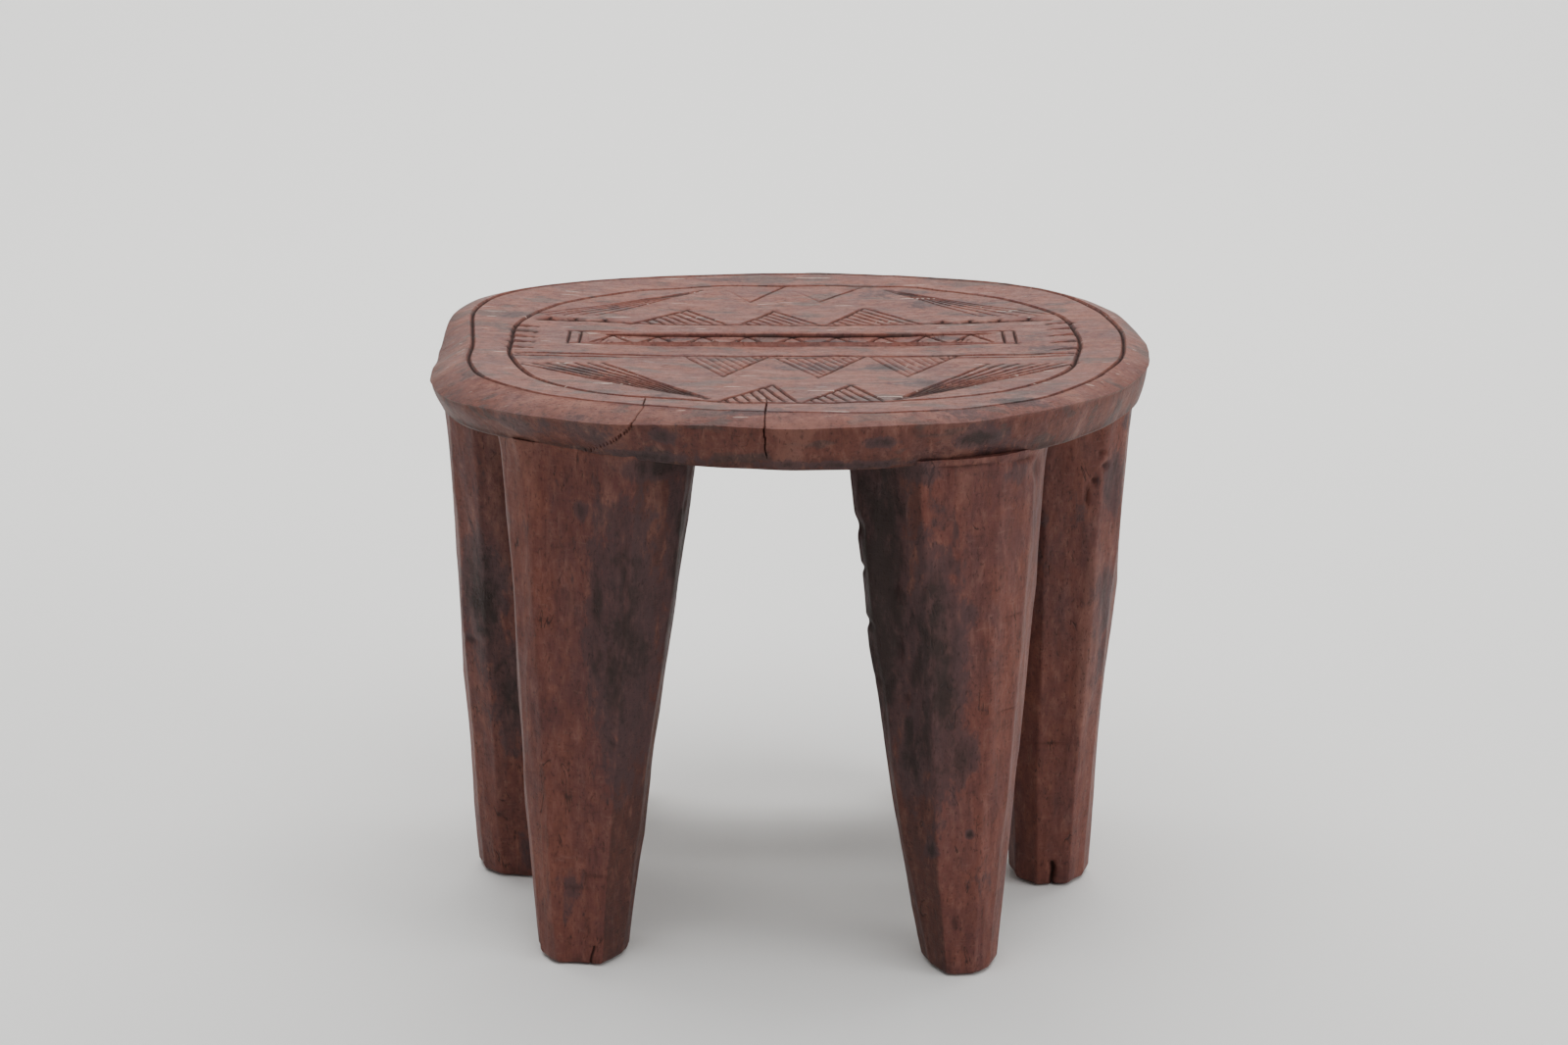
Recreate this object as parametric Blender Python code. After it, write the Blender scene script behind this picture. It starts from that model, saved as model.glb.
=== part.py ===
"""Hand-carved oval stool on six tapering legs, with a geometric pattern cut into its seat.

Lengths are in metres, +Z is up and the front of the stool is -Y.
The origin lies on the floor, under the middle of the seat.
Each leg stands just clear of the seat's flat underside, so that every piece is its own solid.
"""
import math

import bmesh
import bpy
from mathutils import Vector
from mathutils.geometry import delaunay_2d_cdt

# ---- Overall sizes ----
SEAT_WIDTH = 0.406
SEAT_DEPTH = 0.336
SEAT_HEIGHT = 0.322
SEAT_THICKNESS = 0.027
PIECE_GAP = 0.0003

# ---- Seat outline and edge ----
OUTLINE_POWER = 2.45        # 2 would be an ellipse, larger is squarer
OUTLINE_POINTS = 96
BEVEL_WIDTH = 0.014         # sloping band round the top edge
BEVEL_DROP = 0.004
EDGE_ROUND = 0.002          # the worn corner between the bevel and the rim
RIM_LEAN = 0.006            # how far the rim's foot is set in from its widest line
UNDER_EDGE = 0.0015         # worn lower corner of the rim
DISH_DEPTH = 0.004          # the middle of the seat lies this much below its edge

# ---- Carved lines ----
GROOVE_WIDTH = 0.0026
GROOVE_DEPTH = 0.0014
RING_INSET = 0.040          # oval line that frames the pattern
TOP_GRID = 0.020            # spacing of the points that carry the dish
GRID_MARGIN = 0.008         # how far those points stay inside the bevel
BAND_BACK = 0.050           # the two straight lines across the seat
BAND_FRONT = -0.021
BAND_HALF_LENGTH = 0.150
SLOT_HALF_LENGTH = 0.126
SLOT_FRONT = 0.003
SLOT_BACK = 0.029
SLOT_DEPTH = 0.0022
SLOT_WALL = 0.0012

# Rows of triangles: (middle of the base, half of the base), the base line and the tip line
BAND_BACK_ROW = ((-0.063, 0.028), (-0.006, 0.023), (0.048, 0.027))
BAND_BACK_TIP = 0.083
BAND_FRONT_ROW = ((-0.036, 0.023), (0.014, 0.025), (0.067, 0.024))
BAND_FRONT_TIP = -0.068
RING_FRONT_ROW = ((-0.016, 0.020), (0.028, 0.021))
RING_FRONT_BASE = -0.124
RING_FRONT_TIP = -0.086
RING_BACK_ROW = ((-0.022, 0.019), (0.020, 0.021))
RING_BACK_BASE = 0.127
RING_BACK_TIP = 0.102
# Fans of lines at the four quarters: they start along the band and close in on the oval line
FAN_LINES = 5
FAN_OUTER_X = 0.150
FAN_INNER_X = 0.106
FAN_START_FRONT = -0.043
FAN_START_BACK_OUTER = 0.055
FAN_START_BACK_INNER = 0.062
FAN_TIP = (0.048, 0.118)
FAN_STOP = 0.94             # the lines stop at this share of the way to the tip

# ---- Legs ----
LEG_LEVELS = (0.0, 0.016, 0.2, 0.4, 0.6, 0.8, 1.0)
SOLE_WEAR = 0.0025          # the sole's worn edge is set in by this much
DRAWN_WIDTH = 0.406         # seat that the leg sections below are drawn for; they scale with it
DRAWN_DEPTH = 0.336
# Corners of each leg in millimetres, seen from above and going round it: under the seat, on the floor
LEG_SECTIONS = {
    "leg_front_left": (
        ((-157, -84), (-155, -98), (-143, -112), (-80, -144), (-51, -124),
         (-48, -100), (-55, -74), (-72, -62), (-122, -60), (-150, -68)),
        ((-140, -108), (-138, -120), (-128, -132), (-103, -135), (-92, -122),
         (-89, -110), (-92, -96), (-102, -88), (-124, -88), (-136, -96)),
    ),
    "leg_front_right": (
        ((29, -114), (34, -126), (68, -154), (112, -142), (132, -124),
         (139, -104), (137, -78), (120, -64), (60, -62), (36, -76)),
        ((74, -124), (77, -136), (86, -148), (101, -148), (110, -140),
         (115, -127), (113, -112), (104, -103), (86, -103), (77, -110)),
    ),
    "leg_side_left": (
        ((-118, -42), (-140, -49), (-176, -42), (-191, -24), (-195, 4),
         (-191, 30), (-174, 48), (-138, 52), (-120, 44), (-114, 4)),
        ((-141, -8), (-150, -14), (-168, -12), (-180, -3), (-184, 10),
         (-181, 24), (-168, 33), (-150, 34), (-140, 26), (-137, 10)),
    ),
    "leg_side_right": (
        ((120, -44), (142, -50), (176, -43), (191, -26), (195, -2),
         (191, 28), (174, 46), (142, 50), (120, 42), (114, -2)),
        ((133, -16), (144, -26), (163, -25), (173, -14), (177, 0),
         (172, 14), (160, 23), (145, 24), (134, 16), (130, 0)),
    ),
    "leg_rear_left": (
        ((-156, 80), (-153, 99), (-128, 122), (-86, 140), (-62, 124),
         (-57, 102), (-62, 76), (-78, 63), (-122, 60), (-149, 67)),
        ((-141, 108), (-137, 122), (-124, 132), (-107, 132), (-97, 122),
         (-93, 110), (-96, 97), (-105, 90), (-124, 90), (-137, 98)),
    ),
    "leg_rear_right": (
        ((45, 106), (49, 124), (76, 145), (112, 136), (132, 118),
         (139, 100), (136, 78), (122, 64), (68, 62), (50, 74)),
        ((76, 112), (80, 126), (90, 137), (103, 137), (113, 129),
         (118, 116), (116, 104), (107, 95), (88, 95), (78, 102)),
    ),
}
# How far each leg swells to its left and its right between foot and seat
LEG_SWELL = {
    "leg_front_left": (0.0010, -0.0008),
    "leg_front_right": (0.0038, 0.0008),
    "leg_side_left": (0.0010, 0.0010),
    "leg_side_right": (0.0010, -0.0008),
    "leg_rear_left": (0.0012, 0.0010),
    "leg_rear_right": (0.0010, 0.0012),
}

# ---- Stained wood ----
SEAT_COLOR = (0.26, 0.14, 0.11, 1.0)
LEG_COLOR = (0.12, 0.052, 0.040, 1.0)
SEAT_ROUGHNESS = 0.55
LEG_ROUGHNESS = 0.50


def wood(name, color, roughness):
    material = bpy.data.materials.new(name)
    material.use_nodes = True
    shader = material.node_tree.nodes["Principled BSDF"]
    shader.inputs["Base Color"].default_value = color
    shader.inputs["Roughness"].default_value = roughness
    shader.inputs["Metallic"].default_value = 0.0
    material.diffuse_color = color
    return material


def finish(name, shape, material):
    """Weld the shape, turn its faces outward and add it to the scene."""
    bmesh.ops.remove_doubles(shape, verts=shape.verts, dist=1e-6)
    bmesh.ops.recalc_face_normals(shape, faces=shape.faces)
    mesh = bpy.data.meshes.new(name)
    shape.to_mesh(mesh)
    shape.free()
    mesh.materials.append(material)
    piece = bpy.data.objects.new(name, mesh)
    bpy.context.scene.collection.objects.link(piece)
    return piece


def outline_point(angle, inset=0.0):
    """A point of the seat's outline, moved inward at right angles to it."""
    half_x = SEAT_WIDTH / 2
    half_y = SEAT_DEPTH / 2
    c = math.cos(angle)
    s = math.sin(angle)
    reach = (abs(c / half_x) ** OUTLINE_POWER + abs(s / half_y) ** OUTLINE_POWER) ** (-1 / OUTLINE_POWER)
    x = reach * c
    y = reach * s
    slope_x = math.copysign(abs(x / half_x) ** (OUTLINE_POWER - 1) / half_x, x)
    slope_y = math.copysign(abs(y / half_y) ** (OUTLINE_POWER - 1) / half_y, y)
    size = math.hypot(slope_x, slope_y)
    return Vector((x - inset * slope_x / size, y - inset * slope_y / size))


def outline(inset):
    return [outline_point(2 * math.pi * i / OUTLINE_POINTS, inset) for i in range(OUTLINE_POINTS)]


def ring_reach(y, inset):
    """Half the length of the seat at a given depth, inside an inset oval."""
    half_x = SEAT_WIDTH / 2 - inset
    half_y = SEAT_DEPTH / 2 - inset
    return half_x * (1 - min(1.0, abs(y / half_y)) ** OUTLINE_POWER) ** (1 / OUTLINE_POWER)


def pattern_lines():
    """Straight carved lines as pairs of end points."""
    lines = []
    for y in (BAND_BACK, BAND_FRONT):
        end = min(BAND_HALF_LENGTH, ring_reach(y, RING_INSET + GROOVE_WIDTH))
        lines.append((Vector((-end, y)), Vector((end, y))))
    rows = (
        (BAND_BACK_ROW, BAND_BACK, BAND_BACK_TIP),
        (BAND_FRONT_ROW, BAND_FRONT, BAND_FRONT_TIP),
        (RING_FRONT_ROW, RING_FRONT_BASE, RING_FRONT_TIP),
        (RING_BACK_ROW, RING_BACK_BASE, RING_BACK_TIP),
    )
    for row, base, tip in rows:
        for middle, half in row:
            top = Vector((middle, tip))
            lines.append((Vector((middle - half, base)), top))
            lines.append((Vector((middle + half, base)), top))
    starts = (
        (-1, FAN_START_FRONT, FAN_START_FRONT),
        (1, FAN_START_BACK_OUTER, FAN_START_BACK_INNER),
    )
    for side in (-1, 1):
        for face, outer_y, inner_y in starts:
            outer = Vector((side * FAN_OUTER_X, outer_y))
            inner = Vector((side * FAN_INNER_X, inner_y))
            tip = Vector((side * FAN_TIP[0], face * FAN_TIP[1]))
            for i in range(FAN_LINES):
                start = outer.lerp(inner, i / (FAN_LINES - 1))
                lines.append((start, start.lerp(tip, FAN_STOP)))
    return lines


def slot_rectangle(shrink):
    left = -SLOT_HALF_LENGTH + shrink
    right = SLOT_HALF_LENGTH - shrink
    front = SLOT_FRONT + shrink
    back = SLOT_BACK - shrink
    return [Vector((left, front)), Vector((right, front)), Vector((right, back)), Vector((left, back))]


def slot_share(x, y):
    """How far a point lies down the slot's wall: 0 outside, 1 on its floor."""
    inside = min(x + SLOT_HALF_LENGTH, SLOT_HALF_LENGTH - x, y - SLOT_FRONT, SLOT_BACK - y)
    return max(0.0, min(1.0, inside / SLOT_WALL))


def groove_share(point, start, end):
    along = end - start
    t = max(0.0, min(1.0, (point - start).dot(along) / along.length_squared))
    distance = (point - start - t * along).length
    return max(0.0, 1 - distance / (GROOVE_WIDTH / 2))


def add_top(shape, top_z):
    """Triangulate the seat's top so that every carved line has its own two edges and its bottom."""
    points = []
    edges = []

    def add_loop(loop):
        first = len(points)
        points.extend(loop)
        edges.extend((first + i, first + (i + 1) % len(loop)) for i in range(len(loop)))

    add_loop(outline(BEVEL_WIDTH))
    ring_middles = (BEVEL_WIDTH + GROOVE_WIDTH / 2, RING_INSET)
    rings = []
    for middle in ring_middles:
        rings.append(outline(middle))
        add_loop(rings[-1])
        if middle > ring_middles[0]:
            add_loop(outline(middle - GROOVE_WIDTH / 2))
        add_loop(outline(middle + GROOVE_WIDTH / 2))
    add_loop(slot_rectangle(0.0))
    add_loop(slot_rectangle(SLOT_WALL))
    lines = pattern_lines()
    for start, end in lines:
        along = (end - start).normalized()
        side = Vector((-along.y, along.x)) * GROOVE_WIDTH / 2
        tip = along * GROOVE_WIDTH
        first = len(points)
        points.extend((start, end, start + side + tip, end + side - tip, start - side + tip, end - side - tip))
        for a, b in ((0, 1), (0, 2), (2, 3), (3, 1), (0, 4), (4, 5), (5, 1)):
            edges.append((first + a, first + b))

    steps_x = int(SEAT_WIDTH / 2 / TOP_GRID)
    steps_y = int(SEAT_DEPTH / 2 / TOP_GRID)
    for i in range(-steps_x, steps_x + 1):
        for j in range(-steps_y, steps_y + 1):
            x = i * TOP_GRID
            y = j * TOP_GRID
            if abs(x) < ring_reach(y, BEVEL_WIDTH + GRID_MARGIN):
                points.append(Vector((x, y)))

    flat, _, faces, _, _, _ = delaunay_2d_cdt(points, edges, [], 0, 1e-5)
    closed_rings = [list(zip(ring, ring[1:] + ring[:1])) for ring in rings]
    half_x = SEAT_WIDTH / 2 - BEVEL_WIDTH
    half_y = SEAT_DEPTH / 2 - BEVEL_WIDTH
    placed = []
    for p in flat:
        cut = max(groove_share(p, start, end) for start, end in lines)
        for ring in closed_rings:
            cut = max(cut, max(groove_share(p, start, end) for start, end in ring))
        reach = abs(p.x / half_x) ** OUTLINE_POWER + abs(p.y / half_y) ** OUTLINE_POWER
        dish = DISH_DEPTH * max(0.0, 1 - reach)
        z = top_z - dish - max(GROOVE_DEPTH * cut, SLOT_DEPTH * slot_share(p.x, p.y))
        if reach > 1 - 1e-6:
            z = top_z
        placed.append(shape.verts.new((p.x, p.y, z)))
    for face in faces:
        shape.faces.new([placed[i] for i in face])


def make_seat(material):
    shape = bmesh.new()
    under_z = SEAT_HEIGHT - SEAT_THICKNESS
    add_top(shape, SEAT_HEIGHT)
    profile = (
        (BEVEL_WIDTH, SEAT_HEIGHT),
        (EDGE_ROUND, SEAT_HEIGHT - BEVEL_DROP + EDGE_ROUND / 3),
        (0.0, SEAT_HEIGHT - BEVEL_DROP - EDGE_ROUND / 2),
        (RIM_LEAN / 2, (SEAT_HEIGHT - BEVEL_DROP + under_z) / 2),
        (RIM_LEAN, under_z + UNDER_EDGE),
        (RIM_LEAN + UNDER_EDGE, under_z),
    )
    rings = []
    for inset, z in profile:
        rings.append([shape.verts.new((p.x, p.y, z)) for p in outline(inset)])
    for upper, lower in zip(rings, rings[1:]):
        for i in range(OUTLINE_POINTS):
            j = (i + 1) % OUTLINE_POINTS
            shape.faces.new((upper[i], lower[i], lower[j], upper[j]))
    shape.faces.new(rings[-1])
    return finish("seat", shape, material)


def leg_corners(name):
    """The leg's corners under the seat and on the floor, in metres, scaled with the seat."""
    scale_x = SEAT_WIDTH / DRAWN_WIDTH / 1000
    scale_y = SEAT_DEPTH / DRAWN_DEPTH / 1000
    top, foot = ([Vector((x * scale_x, y * scale_y)) for x, y in section] for section in LEG_SECTIONS[name])
    return top, foot


def leg_ring(name, level):
    """Corners of one leg at a level from 0 on the floor to 1 under the seat."""
    top, foot = leg_corners(name)
    corners = [low.lerp(high, level) for low, high in zip(foot, top)]
    middle = sum(corners, Vector((0.0, 0.0))) / len(corners)
    half_x = max(abs(p.x - middle.x) for p in corners)
    half_y = max(abs(p.y - middle.y) for p in corners)
    grow_left, grow_right = (amount * math.sin(math.pi * level) for amount in LEG_SWELL[name])
    wear = SOLE_WEAR if level == 0.0 else 0.0
    ring = []
    for p in corners:
        side = (p.x - middle.x) / half_x
        grow = grow_left if side < 0 else grow_right
        ring.append(Vector((
            p.x + side * (grow - wear),
            p.y + (p.y - middle.y) / half_y * (0.5 * abs(grow) - wear),
        )))
    return ring


def make_leg(name, material):
    shape = bmesh.new()
    height = SEAT_HEIGHT - SEAT_THICKNESS - PIECE_GAP
    rings = []
    for level in LEG_LEVELS:
        rings.append([shape.verts.new((p.x, p.y, level * height)) for p in leg_ring(name, level)])
    sides = len(rings[0])
    for lower, upper in zip(rings, rings[1:]):
        for i in range(sides):
            j = (i + 1) % sides
            shape.faces.new((lower[i], lower[j], upper[j], upper[i]))
    shape.faces.new(rings[0])
    shape.faces.new(rings[-1])
    bmesh.ops.triangulate(shape, faces=shape.faces)
    return finish(name, shape, material)


def clear_scene():
    for item in list(bpy.data.objects):
        bpy.data.objects.remove(item, do_unlink=True)


def main():
    clear_scene()
    make_seat(wood("seat_wood", SEAT_COLOR, SEAT_ROUGHNESS))
    for name in LEG_SECTIONS:
        make_leg(name, wood(name + "_wood", LEG_COLOR, LEG_ROUGHNESS))


main()
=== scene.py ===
"""Hand-carved wooden stool: an oval seat with cut lines on six tapering, adze-faced legs."""

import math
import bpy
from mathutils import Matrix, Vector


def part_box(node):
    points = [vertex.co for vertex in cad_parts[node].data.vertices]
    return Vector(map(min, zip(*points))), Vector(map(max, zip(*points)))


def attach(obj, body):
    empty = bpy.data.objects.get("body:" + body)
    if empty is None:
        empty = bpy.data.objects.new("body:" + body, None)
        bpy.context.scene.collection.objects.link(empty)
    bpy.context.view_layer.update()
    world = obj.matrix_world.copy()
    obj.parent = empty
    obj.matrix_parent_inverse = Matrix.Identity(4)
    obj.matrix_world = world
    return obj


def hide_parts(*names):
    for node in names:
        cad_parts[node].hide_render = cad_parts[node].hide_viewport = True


bl_info = {
    "name": "Carved Stool",
    "version": (1, 0, 0),
    "blender": (4, 5, 0),
    "location": "View3D > Sidebar > Stool",
    "description": "Builds a hand-carved oval stool with a cut pattern on its seat",
    "category": "Add Mesh",
}

import bpy
import numpy as np
from bpy.props import FloatProperty, FloatVectorProperty, IntProperty, PointerProperty
from mathutils import Vector, noise
from mathutils.geometry import delaunay_2d_cdt

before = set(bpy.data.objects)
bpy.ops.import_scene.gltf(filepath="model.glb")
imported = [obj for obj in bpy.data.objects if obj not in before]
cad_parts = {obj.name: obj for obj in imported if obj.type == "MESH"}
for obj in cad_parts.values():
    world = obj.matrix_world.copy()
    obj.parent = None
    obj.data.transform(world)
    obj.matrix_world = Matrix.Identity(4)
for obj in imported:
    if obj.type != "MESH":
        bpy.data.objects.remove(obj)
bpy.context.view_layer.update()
SEAT_LOW, SEAT_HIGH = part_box("seat")
MM = 0.001


# ---------------- colour and node helpers

def linear(hex_code):
    """Turn an sRGB hex colour into the linear colour that a shader takes."""
    values = [int(hex_code[i:i + 2], 16) / 255 for i in (1, 3, 5)]
    return tuple(v / 12.92 if v <= 0.04045 else ((v + 0.055) / 1.055) ** 2.4 for v in values) + (1.0,)


def add_node(tree, kind, inputs=None, **settings):
    """Add one node, set its properties, and fill or link its inputs."""
    node = tree.nodes.new(kind)
    for key, value in settings.items():
        setattr(node, key, value)
    for key, value in (inputs or {}).items():
        if isinstance(value, bpy.types.NodeSocket):
            tree.links.new(value, node.inputs[key])
        else:
            node.inputs[key].default_value = value
    return node


# ---------------- settings a user may change

class STOOL_PG_sizes(bpy.types.PropertyGroup):
    seat_width: FloatProperty(
        name="Seat width", description="Length of the oval seat", unit="LENGTH",
        default=SEAT_HIGH.x - SEAT_LOW.x, min=0.2, max=0.8)
    seat_depth: FloatProperty(
        name="Seat depth", description="Short side of the oval seat", unit="LENGTH",
        default=SEAT_HIGH.y - SEAT_LOW.y, min=0.2, max=0.8)
    seat_height: FloatProperty(
        name="Seat height", description="Top of the rim above the floor", unit="LENGTH",
        default=SEAT_HIGH.z, min=0.1, max=0.8)
    seat_thickness: FloatProperty(
        name="Seat thickness", description="Rim height from top to underside", unit="LENGTH",
        default=SEAT_HIGH.z - SEAT_LOW.z, min=0.01, max=0.08)
    dish: FloatProperty(
        name="Dish", description="How far the middle of the seat is hollowed", unit="LENGTH",
        default=0.004, min=0.0, max=0.02)
    line_depth: FloatProperty(
        name="Line depth", description="Depth of the main cut lines", unit="LENGTH",
        default=0.0020, min=0.0, max=0.004)
    adze_depth: FloatProperty(
        name="Adze marks", description="Height of the ridges between adze cuts on the legs", unit="LENGTH",
        default=0.0012, min=0.0, max=0.004)
    seed: IntProperty(
        name="Carving seed", description="Changes where the tool marks fall", default=7, min=0)


class STOOL_PG_finish(bpy.types.PropertyGroup):
    stain: FloatVectorProperty(
        name="Stain", description="Red-brown dye of the wood", subtype="COLOR", size=4,
        min=0.0, max=1.0, default=linear("#7A463B"))
    worn: FloatVectorProperty(
        name="Worn wood", description="Where the dye has rubbed thin", subtype="COLOR", size=4,
        min=0.0, max=1.0, default=linear("#96685A"))
    # Colour of thick smoke stains, and of the painted shade that some of the blotches stand for
    soot_and_shade: FloatVectorProperty(
        name="Smoke stain", description="Blue-black marks of smoke and handling", subtype="COLOR", size=4,
        min=0.0, max=1.0, default=linear("#2A201D"))
    grime: FloatVectorProperty(
        name="Grime", description="Dirt in cut lines and splits", subtype="COLOR", size=4,
        min=0.0, max=1.0, default=linear("#241613"))
    floor: FloatVectorProperty(
        name="Floor", description="Plain pale floor and backdrop", subtype="COLOR", size=4,
        min=0.0, max=1.0, default=linear("#F2F1EE"))


def sizes():
    return bpy.context.scene.stool_sizes


def finish():
    return bpy.context.scene.stool_finish


# ---------------- shared carving maths

def wrapped(angle):
    """The same angle between minus and plus half a turn."""
    return (angle + math.pi) % (2 * math.pi) - math.pi


def lobes(angle, parts):
    """Sum of smooth local changes round the seat: (middle in degrees, spread in degrees, amount)."""
    total = np.zeros_like(angle)
    for middle, spread, amount in parts:
        away = wrapped(angle - math.radians(middle))
        total += amount * np.exp(-(away / math.radians(spread)) ** 2)
    return total


def wander(x, y, z, size, seed=0.0):
    """Smooth noise between about -1 and 1 with features of the given size in metres."""
    return np.array([
        noise.noise(Vector((a / size + seed, b / size, c / size)))
        for a, b, c in zip(np.ravel(x), np.ravel(y), np.ravel(z))
    ]).reshape(np.shape(x))


def scallops(points, centres, across, along):
    """Lower envelope of shallow bowls: 0 in the middle of each tool cut, 1 on the ridges between cuts."""
    lowest = np.full(len(points), 9.0)
    scale = np.array((1 / across, 1 / across, 1 / along))
    for centre in centres:
        away = (points - centre) * scale
        np.minimum(lowest, (away * away).sum(1), out=lowest)
    return np.minimum(lowest, 1.4)


def smooth_step(low, high, value):
    """0 at low, 1 at high, with soft ends."""
    t = np.clip((value - low) / (high - low), 0, 1)
    return t * t * (3 - 2 * t)


def make_object(name, verts, faces, material, layers, sharp_degrees):
    """Build the mesh, store the per-point masks that its wood reads, and put it in the scene."""
    mesh = bpy.data.meshes.new(name)
    mesh.from_pydata([tuple(v) for v in verts], [], faces)
    mesh.validate()
    for key, values in layers.items():
        layer = mesh.attributes.new(key, "FLOAT", "POINT")
        layer.data.foreach_set("value", np.asarray(values, dtype=np.float32))
    mesh.shade_smooth()
    mesh.set_sharp_from_angle(angle=math.radians(sharp_degrees))
    mesh.materials.append(bpy.data.materials[material])
    piece = bpy.data.objects.new(name, mesh)
    bpy.context.scene.collection.objects.link(piece)
    return piece


# ---------------- seat: outline and cut pattern

OUTLINE_POWER = 2.45
OUTLINE_TRIM = 0.0012       # keeps the fullest parts of the outline inside the seat's box
# A carver's outline is not a true oval: fuller at the back left, flatter at the front right
OUTLINE_LOBES = ((150, 19, 0.0085), (172, 17, -0.0048), (-118, 18, -0.0055), (-30, 16, -0.006),
                 (40, 18, 0.004))
RIM_RADIUS = 0.175          # of the seat, on average: turns angles round the rim into lengths
# The rim is not quite level: it stands a little higher round the back
LIFT_LOBES = ((150, 20, 0.0026), (95, 60, 0.0012), (30, 22, 0.0012))
BEVEL_WIDTH = 0.014
BEVEL_DROP = 0.0042
RIM_LEAN = 0.0075
RIM_FOOT_ROUND = 0.0030
# Local changes of the bevel's width, of its drop, of the rim's lean and of its height
BEVEL_LOBES = ((-142, 32, 0.0045), (184, 20, 0.005), (-52, 20, -0.004), (90, 62, -0.0105))
DROP_LOBES = ((-155, 34, 0.0020), (186, 20, 0.0042), (0, 26, 0.0020))
LEAN_LOBES = ((-136, 16, 0.008), (-60, 18, 0.002), (186, 20, -0.002), (0, 26, -0.003))
THICK_LOBES = ((-88, 34, 0.0030), (95, 30, 0.0020))
RING_MIDDLE = (0.003, 0.0045)
RING_HALF = (0.160, 0.1325)
RING_POWER = 2.5
RING_LINE = (0.0034, 0.0019)        # width and depth of the oval line round the pattern
RIM_LINE = (0.0033, 0.0016)         # the same for the line along the bevel
RIM_LINE_INSET = 0.0017
# Splits that run from the seat's edge down the rim: (angle, sideways drift, length, half width)
RIM_SPLITS = ((-94.6, 0.001, 0.021, 0.00038), (-117.5, -0.034, 0.027, 0.00042),
              (-54.0, 0.012, 0.018, 0.00026))


def oval_reach(c, s, half_x, half_y, power):
    """Distance from the middle to a squarish oval, in the direction of cosine c and sine s."""
    return (np.abs(c / half_x) ** power + np.abs(s / half_y) ** power) ** (-1 / power)


def outline(angle, inset=0.0):
    """Points of the seat's outline at the given angles, moved inward by an inset."""
    half_x = sizes().seat_width / 2
    half_y = sizes().seat_depth / 2
    c = np.cos(angle)
    s = np.sin(angle)
    reach = oval_reach(c, s, half_x, half_y, OUTLINE_POWER) + lobes(angle, OUTLINE_LOBES) - OUTLINE_TRIM
    reach += 0.0006 * np.sin(9 * angle + 1.0) + 0.00025 * np.sin(23 * angle)
    # The inset acts at right angles to the outline, so it is longer along a slanting radius
    slope_x = np.sign(c) * np.abs(c * reach / half_x) ** (OUTLINE_POWER - 1) / half_x
    slope_y = np.sign(s) * np.abs(s * reach / half_y) ** (OUTLINE_POWER - 1) / half_y
    size = np.hypot(slope_x, slope_y)
    return reach * c - inset * slope_x / size, reach * s - inset * slope_y / size


def bevel_width(angle):
    """Width of the bevel, seen from above, at the given angles."""
    return BEVEL_WIDTH + lobes(angle, BEVEL_LOBES)


def ring_point(angle, shrink=0.0):
    """Points of the oval line round the pattern, moved inward by shrink."""
    half_x = RING_HALF[0] - shrink
    half_y = RING_HALF[1] - shrink
    c = np.cos(angle)
    s = np.sin(angle)
    reach = oval_reach(c, s, half_x, half_y, RING_POWER)
    reach = reach + 0.0009 * np.sin(7 * angle) + 0.0006 * np.sin(17 * angle + 2)
    return RING_MIDDLE[0] + reach * c, RING_MIDDLE[1] + reach * s


def hatched_triangle(left, right, tip, lines, share=1.0, rake=0.0, hatch=1.0):
    """Two sides of a triangle and hatch lines inside it, parallel to its second side. Lengths in mm."""
    left, right, tip = (np.array(p, dtype=float) for p in (left, right, tip))
    cuts = [(left, tip, 2.0 * share, 1.2 * share), (tip, right, 1.9 * share, 1.1 * share * hatch)]
    for i in range(1, lines):
        t = i / lines
        low = left + (right - left) * t
        high = left + (tip - left) * t
        sway = np.array((math.sin(5 * i + rake), 0.0)) * 0.6
        cuts.append((high + sway, low + (high - low) * 0.06, 1.8 * share, 0.95 * share * hatch))
    return cuts


def fan(outer, inner, tip, lines, share=1.0):
    """Lines from the side between outer and inner, closing toward the tip. Lengths in mm."""
    outer, inner, tip = (np.array(p, dtype=float) for p in (outer, inner, tip))
    cuts = []
    for i in range(lines):
        t = i / (lines - 1)
        start = outer + (inner - outer) * t
        stop = start + (tip - start) * (0.97 - 0.10 * math.sin(math.pi * t) - 0.05 * (i % 2))
        cuts.append((start, stop, 2.0 * share, 1.1 * share))
    return cuts


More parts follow.
